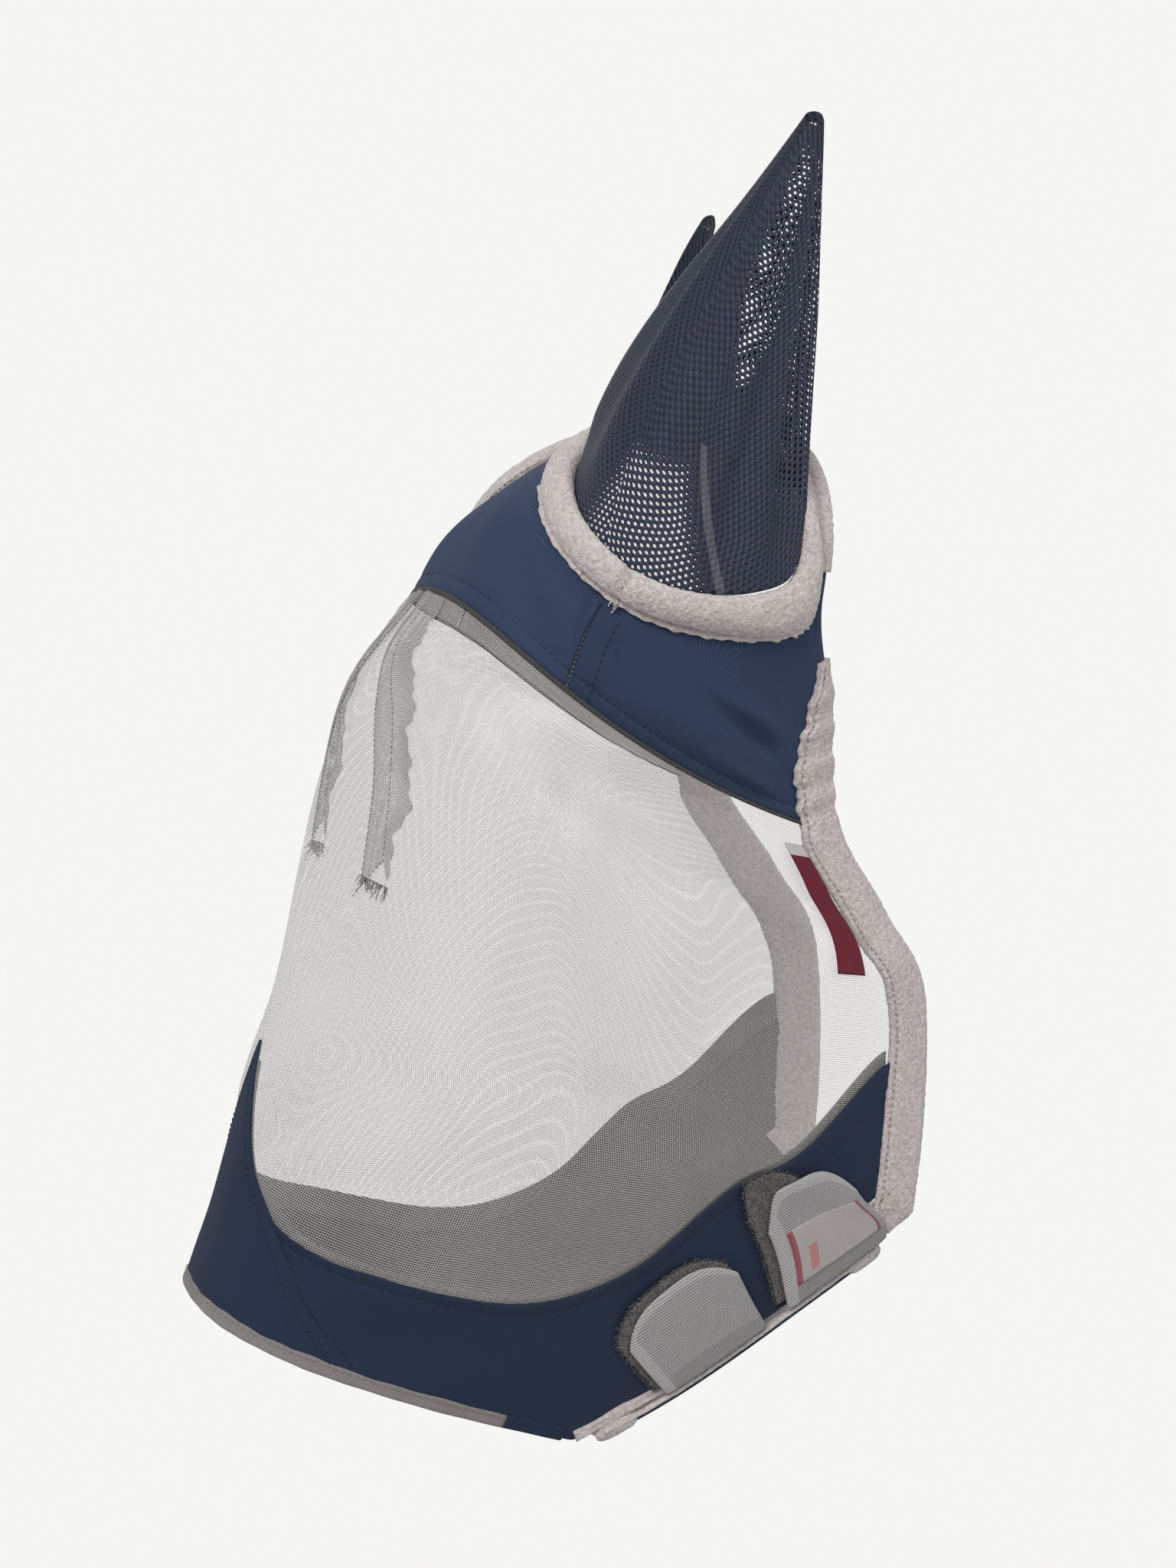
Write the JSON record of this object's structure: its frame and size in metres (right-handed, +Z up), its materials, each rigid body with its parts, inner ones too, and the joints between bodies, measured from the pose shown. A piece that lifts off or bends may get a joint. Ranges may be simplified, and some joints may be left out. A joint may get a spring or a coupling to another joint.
{
  "type": "horse fly mask",
  "caption": "Soft fly mask for a horse: see-through face mesh, mesh ears, fleece-edged navy panels and a flap under the jaw that closes with hook tabs on the left cheek",
  "frame": {"origin": "middle of the seam across the brow, on the outer face of the cloth, where the mask rests on the forehead", "axes": "+Z up, the nose points towards -X and leans 20 degrees forward of straight down, +Y is the wearer's right, so the closure is on the -Y side"},
  "size_m": [0.3602, 0.2132, 0.6353],
  "materials": {
    "navy_cloth": "matte stretch knit, dark navy",
    "ear_mesh": "soft open mesh, navy, about four millimetres between holes",
    "face_mesh": "fine see-through woven mesh, pale grey",
    "grey_seam": "folded double mesh, grey",
    "grey_lining": "soft brushed lining, mid grey",
    "fleece": "short pile fleece, greige",
    "hem_tape": "woven twill tape, warm grey",
    "hook_tape": "hook tape, grey",
    "loop_pile": "loop tape with a furry pile, dark grey",
    "crimson_label": "folded woven label, crimson, blank",
    "pale_label": "woven label, off-white with crimson stitching, blank"
  },
  "bodies": {
    "mask": {"brow_panel": "navy_cloth", "crown_left": "navy_cloth", "crown_right": "navy_cloth", "ear_ring_left": "fleece", "ear_ring_right": "fleece", "poll_binding": "fleece", "face_mesh": "face_mesh", "dart_left": "grey_seam", "dart_right": "grey_seam", "nose_panel": "navy_cloth", "nose_lining": "grey_lining", "cheek_band_left": "navy_cloth", "cheek_band_right": "navy_cloth", "cheek_lining_left": "grey_lining", "cheek_lining_right": "grey_lining", "seam_strip_left": "grey_seam", "seam_strip_right": "grey_seam", "rear_binding_left": "fleece", "rear_binding_right": "fleece", "hem_tape": "hem_tape", "hem_keeper_left": "navy_cloth", "hem_keeper_right": "navy_cloth", "loop_pad_front": "loop_pile", "loop_pad_rear": "loop_pile"},
    "left_ear": {"ear_left": "ear_mesh"},
    "right_ear": {"ear_right": "ear_mesh"},
    "label_flap": {"side_label": "crimson_label"},
    "under_jaw": {"jaw_flap": "navy_cloth", "jaw_fleece": "fleece", "jaw_binding_front": "fleece", "jaw_binding_rear": "fleece"},
    "front_tab": {"hook_tab_front": "hook_tape"},
    "rear_tab": {"hook_tab_rear": "hook_tape", "tab_label": "pale_label"}
  },
  "joints": [
    {"name": "jaw_flap_open", "type": "hinge", "parent": "mask", "child": "under_jaw", "pos_m": [0.1356, 0.056, -0.3728], "axis": [0.8883, 0, 0.4593], "range_deg": [0, 90]},
    {"name": "front_tab_peel", "type": "hinge", "parent": "under_jaw", "child": "front_tab", "pos_m": [0.12524, -0.05845, -0.37567], "axis": [0.8872, 0.0006, 0.4613], "range_deg": [0, 100]},
    {"name": "rear_tab_peel", "type": "hinge", "parent": "under_jaw", "child": "rear_tab", "pos_m": [0.18928, -0.05894, -0.33991], "axis": [0.86, -0.0144, 0.51], "range_deg": [0, 100]},
    {"name": "left_ear_tilt", "type": "hinge", "parent": "mask", "child": "left_ear", "pos_m": [0.10118, -0.08236, 0.03636], "axis": [0, 1, 0], "range_deg": [-8, 6]},
    {"name": "right_ear_tilt", "type": "hinge", "parent": "mask", "child": "right_ear", "pos_m": [0.10308, 0.07642, 0.0233], "axis": [0, 1, 0], "range_deg": [-8, 6]},
    {"name": "side_label_lift", "type": "hinge", "parent": "mask", "child": "label_flap", "pos_m": [0.176, -0.07866, -0.15021], "axis": [-0.4761, -0.0383, 0.8785], "range_deg": [0, 80]}
  ]
}
